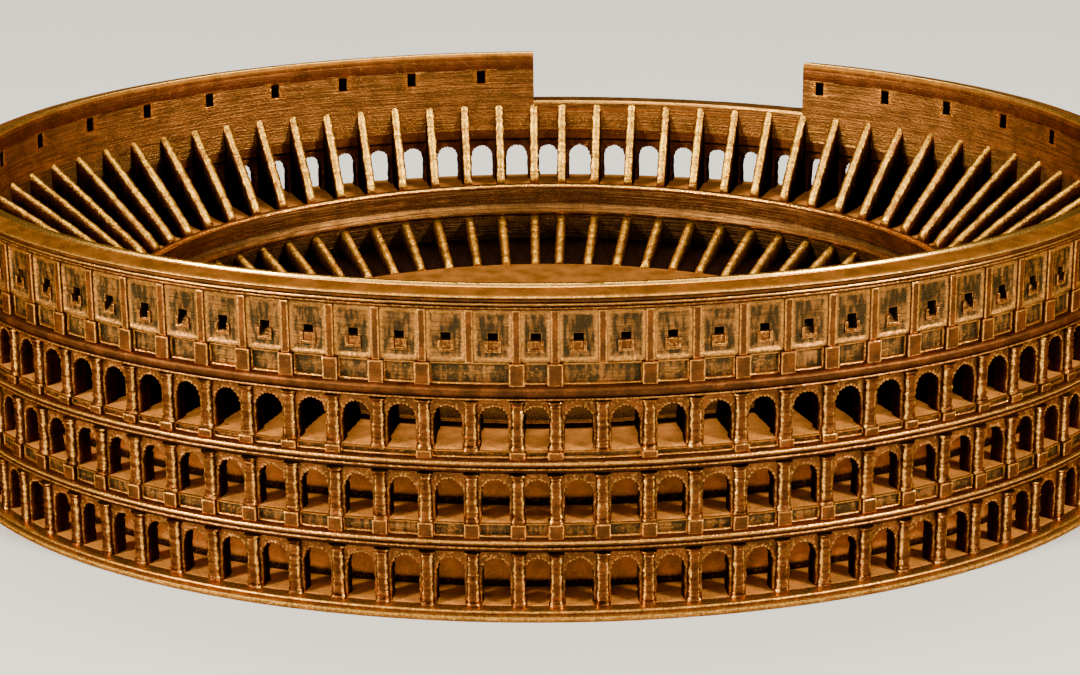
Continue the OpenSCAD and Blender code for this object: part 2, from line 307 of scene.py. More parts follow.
def add_ring(shape, outline, spacing=0.3, from_s=None, to_s=None, pair=None, **corner):
    """Sweeps an outline round the wall, or from one arc length to another.

    With a pair, depth is counted from the line that the pair gives.
    """
    section = rounded(outline, **corner)
    whole = from_s is None
    if whole:
        s = np.linspace(0, LAP, int(LAP / spacing), endpoint=False)
    else:
        s = np.linspace(from_s, to_s, int((to_s - from_s) / spacing))
    base = 0 if pair is None else depth_at(s, pair)[:, None]
    points = place(s[:, None], section[None, :, 0] + base, section[None, :, 1])
    shape.add_grid(points, section[:, 2], whole, True, "" if whole else "rows")


def ring_piece(name, outline, material, slot, nodes, rough=0.012, lump=0.3, **sweep):
    """Piece made of one swept outline."""
    shape = Shape()
    add_ring(shape, outline, **sweep)
    shape.finish(name, material, nodes, rough, lump)


def rectangle_loop(half_w, low, high, count=6):
    """Closed loop of (s, z) round a rectangle, with the same number of points on every side."""
    u = np.arange(count) / count
    flat = np.zeros(count)
    s = np.concatenate([-half_w + 2 * half_w * u, flat + half_w, half_w - 2 * half_w * u, flat - half_w])
    z = np.concatenate([flat + low, low + (high - low) * u, flat + high, high - (high - low) * u])
    return np.stack([s, z], -1)


def add_loops(shape, centre_s, loops):
    """Joins closed loops, given as (half width, low, high, depth, wear), one inside the next."""
    points, wear = [], []
    for half_w, low, high, depth, wear_and_shade_level in loops:
        loop = rectangle_loop(half_w, low, high)
        points.append(place(centre_s + loop[:, 0], depth, loop[:, 1]))
        wear.append(np.full(len(loop), wear_and_shade_level))
    shape.add_grid(np.array(points), np.array(wear), False, True, "rows")


def add_block(shape, centre_s, half_w, low, high, front, back, r=0.05, plain=0.0, edge=0.9):
    """Block with rounded front edges, rubbed bright, and painted shade along its sides, darkest at the back.
    front and back are depths.
    """
    add_loops(shape, centre_s, [
        (half_w, low, high, back, -0.6),
        (half_w, low, high, front + 2.5 * r, plain - 0.3),
        (half_w, low, high, front + r, 0.8 * edge),
        (half_w - 0.3 * r, low + 0.3 * r, high - 0.3 * r, front + 0.3 * r, edge),
        (half_w - r, low + r, high - r, front, 0.8 * edge),
        (half_w - 2.5 * r, low + 2.5 * r, high - 2.5 * r, front, plain),
    ])


# ---------------------------------------------------------------- materials
class Nodes:
    """Small helper that adds shader nodes to a material."""

    def __init__(self, name):
        self.material = bpy.data.materials.new(name)
        self.material.use_nodes = True
        self.tree = self.material.node_tree
        self.tree.nodes.clear()

    def add(self, kind, settings=None, **inputs):
        """Adds a node. An input goes by its name with _ for spaces, or by _ and its number."""
        node = self.tree.nodes.new(kind)
        for key, value in (settings or {}).items():
            setattr(node, key, value)
        for key, value in inputs.items():
            numbered = key.startswith("_")
            socket = node.inputs[int(key[1:]) if numbered else key.replace("_", " ")]
            if isinstance(value, bpy.types.NodeSocket):
                self.tree.links.new(value, socket)
            else:
                socket.default_value = value
        return node

    def math(self, operation, a, b=0.0):
        return self.add("ShaderNodeMath", {"operation": operation}, _0=a, _1=b).outputs[0]

    def remap(self, value, low, high, to_low=0.0, to_high=1.0):
        return self.add("ShaderNodeMapRange", None, Value=value, From_Min=low, From_Max=high,
                        To_Min=to_low, To_Max=to_high).outputs[0]

    def mix(self, factor, a, b):
        node = self.add("ShaderNodeMix", {"data_type": "RGBA"}, _0=factor, _6=a, _7=b)
        return node.outputs[2]

    def noise(self, vector, scale, detail=3.0, roughness=0.55):
        node = self.add("ShaderNodeTexNoise", None, Vector=vector, Scale=scale, Detail=detail,
                        Roughness=roughness)
        return node.outputs[0]

    def stretched(self, vector, scale):
        return self.add("ShaderNodeMapping", None, Vector=vector, Scale=scale).outputs[0]


CLOUD_SCALE = 900.0
GRIT_SCALE = 6500.0
STRATA_SCALE = (250.0, 250.0, 9500.0)
STREAK_SCALE = (3800.0, 3800.0, 900.0)
BUMP_STRENGTH = 0.7
BUMP_HEIGHT = 0.00008

# How strongly the layers and the grit break up the wear, the painted shade and the gloss
LAYER_WEIGHT = 1.5
GRIT_WEIGHT = 1.8
PAINTED_SHADE_UNEVEN = 0.4
GLOSS_UNEVEN = 0.15

# Where each effect starts and where it is full, in its noise or in wear
WORN_FROM_TO = (0.2, 1.0)
PAINTED_SHADE_FROM_TO = (-0.1, -0.9)
CLOUD_FROM_TO = (0.35, 0.65)
STRATA_FROM_TO = (0.45, 0.6)
STAIN_FROM_TO = (0.42, 0.54)
BARE_FROM_TO = (0.3, 0.05)
CLOUD_SHADE = 0.55
STRATA_SHADE = 0.3

GOLD = (0.82, 0.37, 0.07)
BRIGHT_GOLD = (1.0, 0.52, 0.10)
FIN_GOLD = (0.92, 0.49, 0.05)
PANEL_GOLD = (0.68, 0.29, 0.045)
TAN = (0.34, 0.125, 0.02)
BROWN = (0.22, 0.068, 0.015)
AMBER = (0.38, 0.16, 0.038)
# Body colour of the fill painted as shade in the gaps between the lower fins
PAINTED_SHADE_BROWN = (0.10, 0.03, 0.006)
ORANGE = (0.72, 0.26, 0.045)
PATINA = (0.022, 0.021, 0.009)
# Colour of the painted shade in recesses, creases and under ledges
PAINTED_SHADE_BLACK = (0.012, 0.004, 0.002)


def shade(colour, share):
    """The colour with only a share of its brightness."""
    return (*[c * share for c in colour], 1)


def bronze(name, body, polished, patina=0.0, streaks=0.5, layers=0.4, grain=0.5, rough=(0.5, 0.24),
           metal=1.0):
    """Cast bronze: brown on the flats, black in the deepest recesses and bright gold on worn edges.

    The piece's wear runs from -1, painted shade in a recess, through 0, plain body, to 1, polished
    edge. patina is how much of the outward flats is stained, and streaks how far the stain runs down in
    streaks. layers and grain set how strongly the print layers and the fine grit show. rough is the roughness
    of the body and of the polished edges.
    """
    n = Nodes(name)
    spot = n.add("ShaderNodeTexCoord").outputs["Object"]
    cloud = n.noise(spot, CLOUD_SCALE)
    grit = n.noise(spot, GRIT_SCALE, 2.0)
    strata = n.noise(n.stretched(spot, STRATA_SCALE), 1.0, 2.0)
    wear = n.add("ShaderNodeAttribute", {"attribute_name": "wear"}).outputs["Fac"]
    outside = n.add("ShaderNodeAttribute", {"attribute_name": "outside"}).outputs["Fac"]
    lined = n.math("MULTIPLY", n.math("SUBTRACT", strata, 0.5), LAYER_WEIGHT * layers)
    uneven = n.math("ADD", n.math("MULTIPLY", n.math("SUBTRACT", grit, 0.5), GRIT_WEIGHT), lined)
    wear_and_shade_level = n.remap(n.math("ADD", wear, uneven), *WORN_FROM_TO)
    # Painted shade: the negative end of wear turns the colour towards near black
    painted_shade_mask = n.remap(n.math("ADD", wear, n.math("MULTIPLY", uneven, PAINTED_SHADE_UNEVEN)), *PAINTED_SHADE_FROM_TO)

    tone = n.mix(n.remap(cloud, *CLOUD_FROM_TO), shade(body, 1), shade(body, CLOUD_SHADE))
    lines = n.math("MULTIPLY", n.remap(strata, *STRATA_FROM_TO), layers)
    tone = n.mix(lines, tone, shade(body, STRATA_SHADE))
    if patina:
        streak = n.noise(n.stretched(spot, STREAK_SCALE), 1.0, 3.0)
        mottle = n.math("ADD", n.math("MULTIPLY", streak, streaks), n.math("MULTIPLY", cloud, 1 - streaks))
        bare = n.math("MULTIPLY", outside, n.remap(wear, *BARE_FROM_TO, 0.0, patina))
        stained = n.math("MULTIPLY", n.remap(mottle, *STAIN_FROM_TO), bare)
        tone = n.mix(stained, tone, shade(PATINA, 1))
    tone = n.mix(wear_and_shade_level, tone, shade(polished, 1))
    # Painted shade laid over the colour
    tone = n.mix(painted_shade_mask, tone, shade(PAINTED_SHADE_BLACK, 1))
    gloss = n.math("ADD", n.remap(wear_and_shade_level, 0.0, 1.0, *rough), n.math("MULTIPLY", uneven, GLOSS_UNEVEN))

    relief = n.math("ADD", n.math("MULTIPLY", strata, layers), n.math("MULTIPLY", grit, grain))
    bump = n.add("ShaderNodeBump", None, Strength=BUMP_STRENGTH, Distance=BUMP_HEIGHT, Height=relief)
    shader = n.add("ShaderNodeBsdfPrincipled", None, Base_Color=tone, Metallic=metal, Roughness=gloss,
                   Specular_Tint=tone, Normal=bump.outputs[0])
    n.add("ShaderNodeOutputMaterial", None, Surface=shader.outputs[0])
    return n.material


CAST = bronze("cast_bronze", BROWN, GOLD, patina=0.3, streaks=0.3)
EDGE = bronze("polished_edge", BROWN, BRIGHT_GOLD, grain=0.8, rough=(0.45, 0.18))
FIN = bronze("fin_bronze", BROWN, FIN_GOLD, layers=0.6, grain=0.9, rough=(0.5, 0.33))
COPING = bronze("coping_bronze", TAN, BRIGHT_GOLD, layers=0.1, grain=0.12)
PANEL = bronze("patina_panel", AMBER, PANEL_GOLD, patina=0.85, streaks=0.75, layers=0.8, grain=0.9)
MATT = bronze("matt_recess", ORANGE, GOLD, layers=0.1, grain=0.6, rough=(0.75, 0.55), metal=0.6)
ARENA_MATT = bronze("matt_arena", TAN, PANEL_GOLD, layers=0.1, grain=0.7, rough=(0.65, 0.5), metal=0.85)
# Dark fill that paints the shade between the lower fins
PAINTED_SHADE_FILL = bronze("painted_shade_floor", PAINTED_SHADE_BROWN, BROWN, patina=0.3, streaks=0.3, layers=0.6, grain=0.6,
               rough=(0.6, 0.45))
LAYERED = bronze("layered_wall", AMBER, GOLD, patina=0.35, streaks=0.2, layers=0.9, grain=0.4,
                 rough=(0.45, 0.28))


# ---------------------------------------------------------------- base and mouldings
def make_base():
    """Plinth round the foot: a small upper step and a wider lower one, with a little painted shade in the
    crease between them.
    """
    height = top("base_step")
    ring_piece("base_step_cast", [
        (-0.62, 0, 0.0), (-BASE_OUT, 0.06, 0.1), (-BASE_OUT, height - 0.26, 0.6), (-0.44, height - 0.2, -0.3),
        (-0.5, height - 0.1, 0.4), (-0.42, height, 0.5), (ARCADE_BACK, height, 0.1), (ARCADE_BACK, 0),
    ], COPING, "polished_edge", ["base_step"], rough=0.01)


def make_cornice(number):
    """Cornice of a bright lip, a groove, a thin fillet and an underside, with painted shade below the lip, in
    the groove and on the underside.
    """
    low, high = foot(f"cornice_{number}"), top(f"cornice_{number}")
    h = high - low
    ring_piece(f"cornice_{number}_moulding", [
        (ARCADE_BACK, high), (-0.2, high, 0.1), (-CORNICE_OUT, high - 0.08 * h, 0.9),
        (-CORNICE_OUT, high - 0.3 * h, -0.4), (-0.14, high - 0.38 * h, -0.8), (-0.14, high - 0.44 * h, -0.7),
        (-0.24, high - 0.5 * h, 0.35), (-0.24, high - 0.62 * h, -0.5), (0.02, high - 0.7 * h, -0.9),
        (0.02, high - 0.8 * h, -0.6), (WALL_FACE - 0.06, low, -0.8), (ARCADE_BACK, low, -1.0),
    ], CAST, "cast_bronze", [f"cornice_{number}"], radius=0.06)


def make_smooth_cornice():
    """Third cornice, a smooth round band with one thin fillet under it. The band darkens downwards into
    painted shade on its underside.
    """
    low, high = foot("cornice_3"), top("cornice_3")
    h = high - low
    ring_piece("cornice_3_moulding", [
        (ARCADE_BACK, high), (-0.12, high, -0.2), (-0.3, high - 0.1 * h, -0.25),
        (-CORNICE_OUT, high - 0.3 * h, -0.4), (-0.32, high - 0.52 * h, -0.55), (-0.16, high - 0.66 * h, -0.8),
        (-0.06, high - 0.7 * h, -0.8), (-0.14, high - 0.78 * h, 0.4), (-0.1, high - 0.88 * h, -0.5),
        (0.1, high - 0.93 * h, -0.8), (WALL_FACE - 0.05, low, -0.9), (ARCADE_BACK, low, -1.0),
    ], CAST, "cast_bronze", ["cornice_3"], radius=0.09)


# The coping reaches down over the crown's top by COPING_LAP
ATTIC_FROM, ATTIC_TO = pier_s(GAP_TO - 1), pier_s(BAYS + GAP_FROM - 1)
COPING_LAP = 0.1


def make_crown():
    """Mouldings under the coping: a band, two grooves and two thin fillets, with painted shade in the
    grooves, under the coping and at the foot.
    """
    low, high = foot("crown_moulding"), top("crown_moulding") - COPING_LAP
    ring_piece("crown_mouldings", [
        (ATTIC_BACK, high, 0.0), (0.05, high, -0.8), (-0.2, high - 0.04, -0.2), (-0.22, high - 0.2, -0.3),
        (0.02, high - 0.26, -1.0), (-0.12, high - 0.33, 0.8), (-0.14, high - 0.46, -0.2),
        (0.06, high - 0.54, -1.0), (-0.02, high - 0.6, 0.3), (0.02, low + 0.04, -0.4), (0.1, low, -0.9),
        (ATTIC_BACK, low, 0.0),
    ], CAST, "cast_bronze", ["crown_moulding"], from_s=ATTIC_FROM, to_s=ATTIC_TO)


def make_coping():
    """Sloping top of the attic: a bright ridge near its inner edge, a broad slope down to the front and
    painted shade under the front lip.
    """
    low, high = foot("coping") - COPING_LAP, top("coping")
    ring_piece("attic_coping", [
        (ATTIC_BACK, low, 0.2), (ATTIC_BACK, high - 0.16, 0.0), (1.35, high - 0.12, 0.1), (1.27, high, 0.9),
        (1.0, high, 1.0), (0.94, high - 0.15, 1.0), (0.8, high - 0.17, 0.0), (-0.2, low + 0.17, 0.0),
        (-CORNICE_OUT, low + 0.1, 0.6), (-CORNICE_OUT, low + 0.04, 0.0), (-0.25, low, -0.8),
    ], COPING, "polished_edge", ["coping"], rough=0.007, from_s=ATTIC_FROM, to_s=ATTIC_TO)


# ---------------------------------------------------------------- arcades
ARCH_TOOTH = 0.07
ARCH_EDGE_R = 0.06
JAMB_POINTS = 8
SHOULDER_POINTS = 5
HEAD_POINTS = 13


def add_arched_bay(shape, j, low, high):
    """Closed wall block of bay j with a round-headed, ragged opening.

    Lines of points run up the left jamb, over the head and down the right jamb. The outer line follows
    the block's edge and the inner one the opening. Between them the loops go from the outer face through
    the opening to the inner face, rubbed bright round the head, with painted shade on the reveals and the
    inner face.
    """
    left, right = pier_s(j - 1), pier_s(j)
    centre, half = (left + right) / 2, (right - left) / 2
    w = min(OPENING_W / 2, half - LEAST_PIER_W / 2)
    spring = high - CROWN_BAND - w
    up = JAMB_POINTS
    corner = math.atan2(high - spring, half)
    bend = np.concatenate([
        np.linspace(0, corner, SHOULDER_POINTS),
        np.linspace(corner, math.pi - corner, HEAD_POINTS)[1:],
        np.linspace(math.pi - corner, math.pi, SHOULDER_POINTS)[1:],
    ])
    teeth = np.where(np.arange(len(bend)) % 2 == 0, 0.0, ARCH_TOOTH)
    teeth[[0, -1]] = 0.0
    rise = np.linspace(low, spring, up, endpoint=False)
    reach = np.minimum(half / np.maximum(np.abs(np.cos(bend)), 1e-6),
                       (high - spring) / np.maximum(np.sin(bend), 1e-6))
    outer = np.concatenate([
        np.stack([np.full(up, -half), rise], -1),
        np.stack([-reach * np.cos(bend), spring + reach * np.sin(bend)], -1),
        np.stack([np.full(up, half), rise[::-1]], -1),
    ])
    inner = np.concatenate([
        np.stack([np.full(up, -w), rise], -1),
        np.stack([-(w - teeth) * np.cos(bend), spring + (w - teeth) * np.sin(bend)], -1),
        np.stack([np.full(up, w), rise[::-1]], -1),
    ])
    away = np.concatenate([
        np.tile([-1.0, 0.0], (up, 1)),
        np.stack([-np.cos(bend), np.sin(bend)], -1),
        np.tile([1.0, 0.0], (up, 1)),
    ])
    r = ARCH_EDGE_R
    head = np.concatenate([np.zeros(up), np.where(teeth > 0, np.sin(bend), 0.0), np.zeros(up)])
    # The reveals and the inner face carry painted shade; the head is rubbed bright.
    rows = [(outer, WALL_FACE, 0.0)]
    rows += [(outer + (inner - outer) * u, WALL_FACE, 0.12) for u in (0.3, 0.6)]
    rows += [(inner + away * 2.2 * r, WALL_FACE - 0.02, 0.1 + 0.2 * head),
             (inner + away * r, WALL_FACE - 0.02, 0.25 + 0.65 * head),
             (inner + away * 0.3 * r, WALL_FACE + 0.3 * r, 0.3 + 0.7 * head), (inner, WALL_FACE + r, 0.0),
             (inner, WALL_FACE + 4 * r, -0.6), (inner, (WALL_FACE + ARCADE_BACK) / 2, -0.8),
             (inner, ARCADE_BACK - r, -0.6), (inner + away * r, ARCADE_BACK, 0.2),
             (inner + away * 3 * r, ARCADE_BACK, -0.2), (outer, ARCADE_BACK, -0.4)]
    points = np.array([place(centre + line[:, 0], depth, line[:, 1]) for line, depth, _ in rows])
    wear = np.array([np.broadcast_to(wear_and_shade_level, len(inner)) for _, _, wear_and_shade_level in rows])
    shape.add_grid(points, wear, True, False, "columns")


def make_arcade(number):
    """One storey of arched bays."""
    node = f"arcade_{number}"
    shape = Shape()
    for j in range(BAYS):
        add_arched_bay(shape, j, foot(node), top(node))
    shape.finish(f"{node}_bays", CAST, [node], 0.05, 0.25)


COLUMN_HALF_W = 0.37
COLUMN_OUT = 0.35
COLUMN_EMBED = 0.1
COLUMN_SQUARENESS = 0.75
COLUMN_RINGS = 24
COLUMN_FOOT = 0.3
COLUMN_CAP = 0.32


def make_half_columns(number):
    """Half columns with squared fronts, a moulded foot, a beaded, slightly tapered shaft and a flared cap.

    The two corners of a front are worn bright, unevenly from bead to bead.
    """
    node = f"half_columns_{number}"
    low, high = foot(node), top(node)
    around = np.linspace(0, math.pi, 11)
    across = -np.sign(np.cos(around)) * np.abs(np.cos(around)) ** COLUMN_SQUARENESS * COLUMN_HALF_W
    out = np.abs(np.sin(around)) ** COLUMN_SQUARENESS * COLUMN_OUT
    wear_and_shade_level = -0.1 + 1.3 * np.abs(np.sin(2 * around)) ** 4
    across = np.concatenate([[-COLUMN_HALF_W], across, [COLUMN_HALF_W]])
    out = np.concatenate([[-COLUMN_EMBED], out, [-COLUMN_EMBED]])
    # The edges set into the wall carry painted shade.
    wear_and_shade_level = np.concatenate([[-0.9], wear_and_shade_level, [-0.9]])
    tall = high - low
    shaft = tall - COLUMN_FOOT - COLUMN_CAP
    steps = np.arange(COLUMN_RINGS + 1) / COLUMN_RINGS
    rings = [(0, 1.2), (0.14, 1.2), (0.18, 1.08), (0.24, 1.14), (0.28, 0.96)]
    rings += [(COLUMN_FOOT + shaft * u, 0.98 - 0.08 * u) for u in steps]
    rings += [(tall - 0.3, 1.02), (tall - 0.24, 0.92), (tall - 0.12, 1.14), (tall - 0.06, 1.26), (tall, 1.28)]
    z = np.array([height for height, _ in rings])[:, None]
    wide = np.array([width for _, width in rings])[:, None]
    shape = Shape()
    for j in range(BAYS):
        bead = GRAINS.random(z.shape)
        swell = wide * (1 + 0.1 * (bead - 0.5))
        points = place(pier_s(j) + across * swell, WALL_FACE - out * swell, low + z)
        shape.add_grid(points, wear_and_shade_level - 0.6 * (1 - bead), False, True, "rows")
    shape.finish(f"{node}_cast", EDGE, [node], 0.045, 0.16, sharp=60)


# ---------------------------------------------------------------- panel bands and pedestals
PANEL_LIP = 0.1


def add_panel(shape, left, right, low, high, back):
    """Block of wall from pier line to pier line with one sunk panel, whose lip is rubbed bright, with a
    little painted shade at the foot of the sink.
    """
    centre, half = (left + right) / 2, (right - left) / 2
    w = half - PEDESTAL_W / 2
    lip = PANEL_LIP
    front, sunk = PARAPET_FACE, PARAPET_FACE + PANEL_DEPTH
    add_loops(shape, centre, [
        (half, low, high, back, 0.2),
        (half, low, high, front + 0.05, 0.4),
        (half, low + 0.03, high - 0.03, front, 0.7),
        (w + 0.06, low + lip - 0.03, high - lip + 0.03, front, 0.6),
        (w + 0.02, low + lip, high - lip, front + 0.02, 0.95),
        (w - 0.03, low + lip + 0.03, high - lip - 0.03, front + 0.08, 0.5),
        (w - 0.08, low + lip + 0.06, high - lip - 0.06, sunk, -0.2),
        (w - 0.3, low + 0.4 * (high - low), high - 0.4 * (high - low), sunk, 0.1),
    ])


def make_panel_band(node, back, merged):
    """Band of sunk panels, two bays long where the pier between them has no pedestal."""
    shape = Shape()
    j = 0
    while j < BAYS:
        last = j + 1 if j in merged else j
        add_panel(shape, pier_s(j - 1), pier_s(last), foot(node), top(node), back)
        j = last + 1
    shape.finish(f"{node}_panels", PANEL, [node], 0.012, 0.3)


def make_pedestals(node, merged):
    """Blocks under the columns or pilasters, except at the merged piers."""
    shape = Shape()
    low, high = foot(node), top(node)
    for j in range(BAYS):
        if j not in merged:
            add_block(shape, pier_s(j), PEDESTAL_W / 2, low, high, -PEDESTAL_OUT, PARAPET_FACE + 0.2,
                      plain=-0.15, edge=0.9)
    shape.finish(f"{node}_cast", CAST, [node], 0.02, 0.2)


# ---------------------------------------------------------------- attic
ATTIC_SINK = 0.1
ATTIC_BORDER = 0.34
PILASTER_HALF_W = 0.23


def attic_face(half, low, high):
    """Loops of an attic bay's front: a border, a shallow panel and the edge of the window. The panel's middle
    and the edge of the window are a little darkened with painted shade.
    """
    front, sunk = PARAPET_FACE, PARAPET_FACE + ATTIC_SINK
    w, h, wz = WINDOW_W / 2, WINDOW_H / 2, WINDOW_Z
    p = half - ATTIC_BORDER
    return [
        (half, low, high, ATTIC_BACK - 0.4, -0.2), (half, low, high, front + 0.04, -0.3),
        (half, low + 0.02, high - 0.02, front, 0.1), (p + 0.1, low + 0.15, high - 0.15, front, 0.35),
        (p, low + 0.2, high - 0.2, front + 0.03, 0.55),
        (p - 0.08, low + 0.28, high - 0.28, sunk - 0.02, 0.25),
        (p - 0.2, low + 0.38, high - 0.38, sunk, -0.15), (w + 0.1, wz - h - 0.1, wz + h + 0.08, sunk, -0.2),
        (w + 0.02, wz - h - 0.02, wz + h + 0.02, sunk + 0.02, 0.3), (w, wz - h, wz + h, sunk + 0.06, -0.3),
    ]


def add_pierced_bay(shape, centre, half, low, high):
    """Attic bay with a shaft that climbs from its outer window to a higher inner one. The shaft carries
    painted shade, and the inner window's edge is rubbed bright.
    """
    sunk = PARAPET_FACE + ATTIC_SINK
    w, h, wz, iz = WINDOW_W / 2, WINDOW_H / 2, WINDOW_Z, WINDOW_INNER_Z
    loops = attic_face(half, low, high)
    for u in (0.33, 0.66, 0.95):
        lift = (iz - wz) * u
        loops.append((w, wz - h + lift, wz + h + lift, sunk + (ATTIC_BACK - sunk) * u, -0.9))
    loops += [
        (w + 0.05, iz - h - 0.05, iz + h + 0.05, ATTIC_BACK, 0.7),
        (half * 0.7, iz - h - 0.3, iz + h + 0.12, ATTIC_BACK, -0.05), (half, low, high, ATTIC_BACK, -0.05),
    ]
    rings = [rectangle_loop(half_w, z0, z1) for half_w, z0, z1, _, _ in loops]
    points = np.array([place(centre + ring[:, 0], loop[3], ring[:, 1]) for ring, loop in zip(rings, loops)])
    shape.add_grid(points, np.array([[loop[4]] for loop in loops]), True, True)


def add_blind_bay(shape, centre, half, low, high):
    """Attic bay whose window is only a recess, with a plain slab for its inner face. The back of the recess
    carries painted shade.
    """
    w, h, wz = WINDOW_W / 2, WINDOW_H / 2, WINDOW_Z
    add_loops(shape, centre, attic_face(half, low, high) + [(w, wz - h, wz + h, ATTIC_BACK - 0.5, -1.0)])
    add_loops(shape, centre, [
        (half, low, high, ATTIC_BACK - 0.39, 0.0), (half, low, high, ATTIC_BACK, -0.05),
        (half * 0.7, low + 0.3, high - 0.3, ATTIC_BACK, -0.05),
    ])


def make_attic_wall():
    """Attic bays, pierced and blind by turns."""
    shape = Shape()
    low, high = foot("attic_wall"), top("attic_wall")
    for j in range(GAP_TO, BAYS + GAP_FROM):
        left, right = pier_s(j - 1), pier_s(j)
        add_bay = add_pierced_bay if j % 2 == 0 else add_blind_bay
        add_bay(shape, (left + right) / 2, (right - left) / 2, low, high)
    shape.finish("attic_wall_panels", PANEL, ["attic_wall"], 0.014, 0.3)


def make_attic_pilasters():
    """Flat pilasters over the piers of the attic."""
    shape = Shape()
    low, high = foot("attic_pilasters"), top("attic_pilasters")
    for j in range(GAP_TO, BAYS + GAP_FROM - 1):
        add_block(shape, pier_s(j), PILASTER_HALF_W, low, high, 0.0, PARAPET_FACE + 0.1, 0.05, -0.1, 0.8)
    shape.finish("attic_pilasters_cast", CAST, ["attic_pilasters"], 0.016, 0.2)


# Window frames within STEPPED_BAYS of the front centre have a high step inside them, the others a low one
STEPPED_BAYS = 5
HIGH_STEP = 0.5
LOW_STEP = 0.05
JAMB_SHARE = 0.55
FRAME_BORDER = 0.17


def make_window_frames():
    """Raised sill and jambs round the lower part of each window, with a step inside them."""
    shape = Shape()
    w, border = WINDOW_W / 2, FRAME_BORDER
    base = WINDOW_Z - WINDOW_H / 2
    jamb_top = base + JAMB_SHARE * WINDOW_H
    front, back = PARAPET_FACE - 0.02, PARAPET_FACE + PANEL_DEPTH + 0.05
    for j in range(GAP_TO, BAYS + GAP_FROM):
        centre = (pier_s(j - 1) + pier_s(j)) / 2
        add_block(shape, centre, w + border, base - border, base, front, back, 0.03, 0.2, 0.55)
        from_front = abs((j + BAYS // 2) % BAYS - BAYS // 2)
        step = HIGH_STEP if from_front <= STEPPED_BAYS else LOW_STEP
        add_block(shape, centre, w, base - border, base + step * WINDOW_H, front + 0.1, back + 0.3,
                  0.03, 0.2, 0.6)
        for side in (-1, 1):
            add_block(shape, centre + side * (w + border / 2), border / 2, base, jamb_top,
                      front, back, 0.03, 0.2, 0.55)
    shape.finish("window_frames_cast", CAST, ["window_frames"], 0.02, 0.15)


def make_broken_top():
    """Low wall left in the attic's gap, with rounded edges."""
    low, high = foot("broken_wall_top"), top("broken_wall_top")
    ring_piece("broken_wall_top_cast", [
        (PARAPET_FACE, low), (ATTIC_BACK, low), (ATTIC_BACK, high - 0.1), (ATTIC_BACK - 0.12, high),
        (PARAPET_FACE + 0.1, high), (PARAPET_FACE, high - 0.08),
    ], LAYERED, "layered_wall", ["broken_wall_top"], from_s=pier_s(GAP_FROM - 1), to_s=pier_s(GAP_TO - 1))


# ---------------------------------------------------------------- inside
ARENA_TOP_FALL = 0.04
ARENA_POINTS = 360


def make_arena():
    """Arena floor: painted shade between the lower fins, matt in the middle, and a painted shadow of the
    front wall that darkens towards it.
    """
    low, high = foot("arena_floor"), top("arena_floor")
    s = np.linspace(0, LAP, ARENA_POINTS, endpoint=False)
    rim, edge = depth_at(s, RIM), depth_at(s, ARENA)
    rows = [(rim, low, -1.0), (rim, high - ARENA_TOP_FALL, -1.0)]
    rows += [(rim + (edge - rim) * u, high - ARENA_TOP_FALL, -0.95) for u in (0.3, 0.6, 0.9, 0.98)]
    rows += [(edge, high, 0.3), (edge + 0.15, high, 0.05)]
    points = [place(s, depth, z) for depth, z, _ in rows]
    wear = [np.full(len(s), wear_and_shade_level) for _, _, wear_and_shade_level in rows]
    # Painted shadow of the front wall, darkest at the floor's front edge
    near = np.clip(-np.sin(angle_at(s)), 0, 1)
    margin = points[-1]
    for share in (0.97, 0.9, 0.8, 0.7, 0.6, 0.5, 0.4, 0.25, 0.1):
        points.append(margin * (share, share, 1))
        wear.append(-0.05 - 0.85 * near * np.clip(2 * share - 0.6, 0, 1))
    shape = Shape()
    shape.add_grid(np.array(points), np.array(wear), False, True, "rows")
    shape.finish("arena_floor_cast", ARENA_MATT, ["arena_floor"], 0.01, 0.4)


def add_sill(shape, level):
    """Matt tread that runs through the arches of a storey, on the wall below them."""
    front, back = PARAPET_FACE + 0.15, CORE_FACE - 0.5
    low, high = level - 0.05, level + 0.01
    add_ring(shape, [
        (front, low, 0.4), (back, low, 0.0), (back, high, 0.0), (front, high, 0.4),
    ], radius=0.01, reach=0.02)


def make_ambulatories():
    """Covered walks behind the arcades: a matt inner wall with painted shade at its foot and head, a little
    lighter just above the shaded foot, and a matt floor with painted shade by the wall and underneath.
    """
    for number in (1, 2):
        node = f"ambulatory_wall_{number}"
        low, high = foot(node), top(node)
        shape = Shape()
        if number == 1:
            add_sill(shape, low)
        add_ring(shape, [
            (AMBULATORY_WALL, low, -1.0), (CORE_FACE, low, 0.0), (CORE_FACE, high, 0.0),
            (AMBULATORY_WALL, high, -0.9), (AMBULATORY_WALL, high - 0.9, -0.1),
            (AMBULATORY_WALL, low + 0.75, 0.3), (AMBULATORY_WALL, low + 0.35, -0.9),
        ], step=0.15)
        shape.finish(f"{node}_cast", MATT, [node])
    for number in (2, 3):
        node = f"ambulatory_floor_{number}"
        low, high = foot(node), top(node)
        shape = Shape()
        add_sill(shape, top(f"parapet_{number}"))
        add_ring(shape, [
            (ARCADE_BACK, low, -0.5), (CORE_FACE, low, -1.0), (CORE_FACE, high, -0.9), (2.6, high, -0.8),
            (2.2, high, 0.1), (ARCADE_BACK, high, 0.25),
        ], step=0.15)
        shape.finish(f"{node}_cast", MATT, [node])


